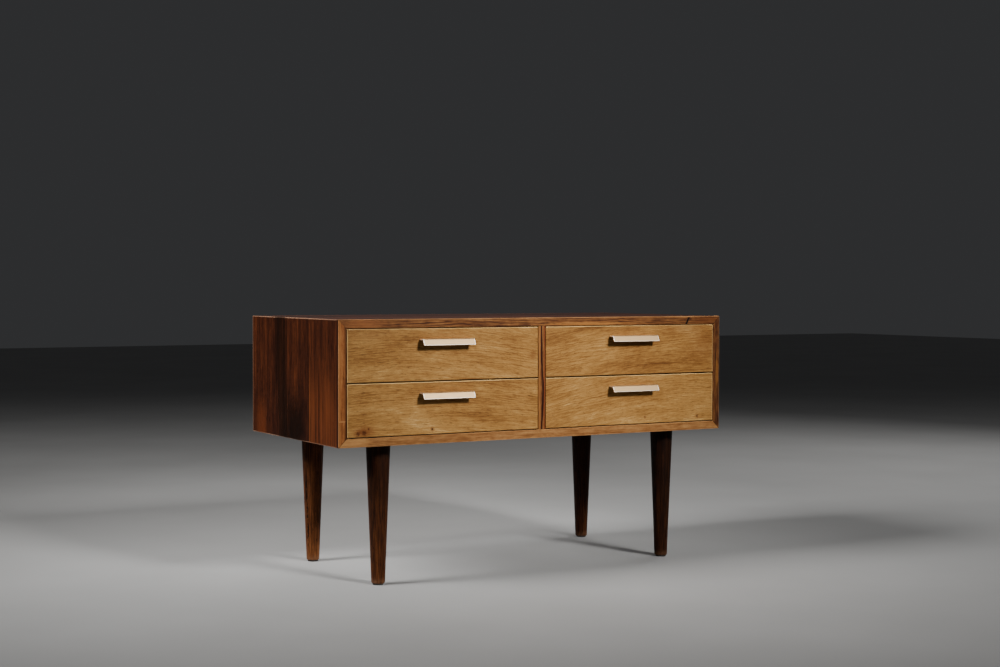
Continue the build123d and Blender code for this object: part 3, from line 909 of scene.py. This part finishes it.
GRAINY = (0.002, 0.002, 0.002)
BRUSHED = (0.03, 0.0005, 0.0005)
brass = metal("dull_brass", srgb(200, 164, 98), 0.4, GRAINY)
zinc = metal("zinc_plated_steel", srgb(176, 176, 172), 0.4, GRAINY)
for place in PLACES:
    pull = f"{place}_pull"
    pull_box = [Vector(end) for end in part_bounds(pull)]
    dress(pull, metal(pull, srgb(206, 170, 124), 0.42, BRUSHED, pull_box))
    dress(f"{place}_pull_screws", zinc)
dress("back_panel_screws", brass)
dress("runner_screws", brass)
dress("hanger_bolts", zinc)
dress("tee_nuts", zinc)
dress("foot_glides", nylon())


# ------------------------------------------------------------------ floor, light and camera
def stage_floor():
    size = 12.0
    mesh = bpy.data.meshes.new("floor")
    corners = [(-size, -size, 0), (size, -size, 0), (size, size, 0), (-size, size, 0)]
    mesh.from_pydata(corners, [], [(0, 1, 2, 3)])
    floor = bpy.data.objects.new("floor", mesh)
    bpy.context.scene.collection.objects.link(floor)
    shader = Shader("pale_floor")
    cloud = shader.noise(shader.place, (0.5, 0.5, 0.5), 3.0)
    colour = shader.ramp(cloud, [(0.3, srgb(172, 171, 169)), (0.7, srgb(180, 179, 177))])
    mesh.materials.append(shader.finish(colour, 0.8))


def aim(thing, target):
    thing.rotation_euler = (Vector(target) - thing.location).to_track_quat("-Z", "Y").to_euler()


def soft_light(name, place, size, watts, spread=180, target=(0, 0, 0.3)):
    """A rectangular lamp, with its spread in degrees."""
    lamp = bpy.data.lights.new(name, "AREA")
    lamp.shape = "RECTANGLE"
    lamp.size, lamp.size_y = size
    lamp.energy = watts
    lamp.spread = math.radians(spread)
    light = bpy.data.objects.new(name, lamp)
    light.location = place
    bpy.context.scene.collection.objects.link(light)
    aim(light, target)


def studio():
    world = bpy.data.worlds.new("studio")
    world.use_nodes = True
    background = world.node_tree.nodes["Background"]
    background.inputs["Color"].default_value = srgb(222, 224, 228)
    background.inputs["Strength"].default_value = 0.045
    bpy.context.scene.world = world
    # The narrow key leaves the side panels and the floor darker than the fronts, and the side light
    # stays behind the front plane, where it can't fill the shadows under the pulls.
    soft_light("key", (0.8, -3.2, 2.2), (0.8, 0.6), watts=5.6, spread=28, target=(0, 0, 0.42))
    soft_light("side", (-2.6, 0.2, 2.2), (1.1, 1.3), watts=16, spread=60)
    soft_light("back", (0.8, 2.4, 3.0), (2.0, 1.4), watts=18)
    soft_light("right", (2.9, 0.9, 1.8), (1.3, 1.3), watts=18)


CAMERA_PLACE = (-1.7341, -3.0044, 0.5860)
CAMERA_HEADING = 0.5289         # turned right of +Y, in radians
CAMERA_TILT = -0.0300           # less than nothing is downwards
CAMERA_ROLL = 0.0018
CAMERA_LENS = 58.73             # mm
SENSOR_WIDTH = 36.0             # mm


def camera():
    data = bpy.data.cameras.new("camera")
    data.lens = CAMERA_LENS
    data.sensor_width = SENSOR_WIDTH
    view = bpy.data.objects.new("camera", data)
    turned = Matrix.Rotation(-CAMERA_HEADING, 4, "Z")
    tilted = Matrix.Rotation(math.pi / 2 + CAMERA_TILT, 4, "X")
    rolled = Matrix.Rotation(CAMERA_ROLL, 4, "Z")
    view.matrix_world = Matrix.Translation(CAMERA_PLACE) @ turned @ tilted @ rolled
    bpy.context.scene.collection.objects.link(view)
    bpy.context.scene.camera = view


stage_floor()
studio()
camera()
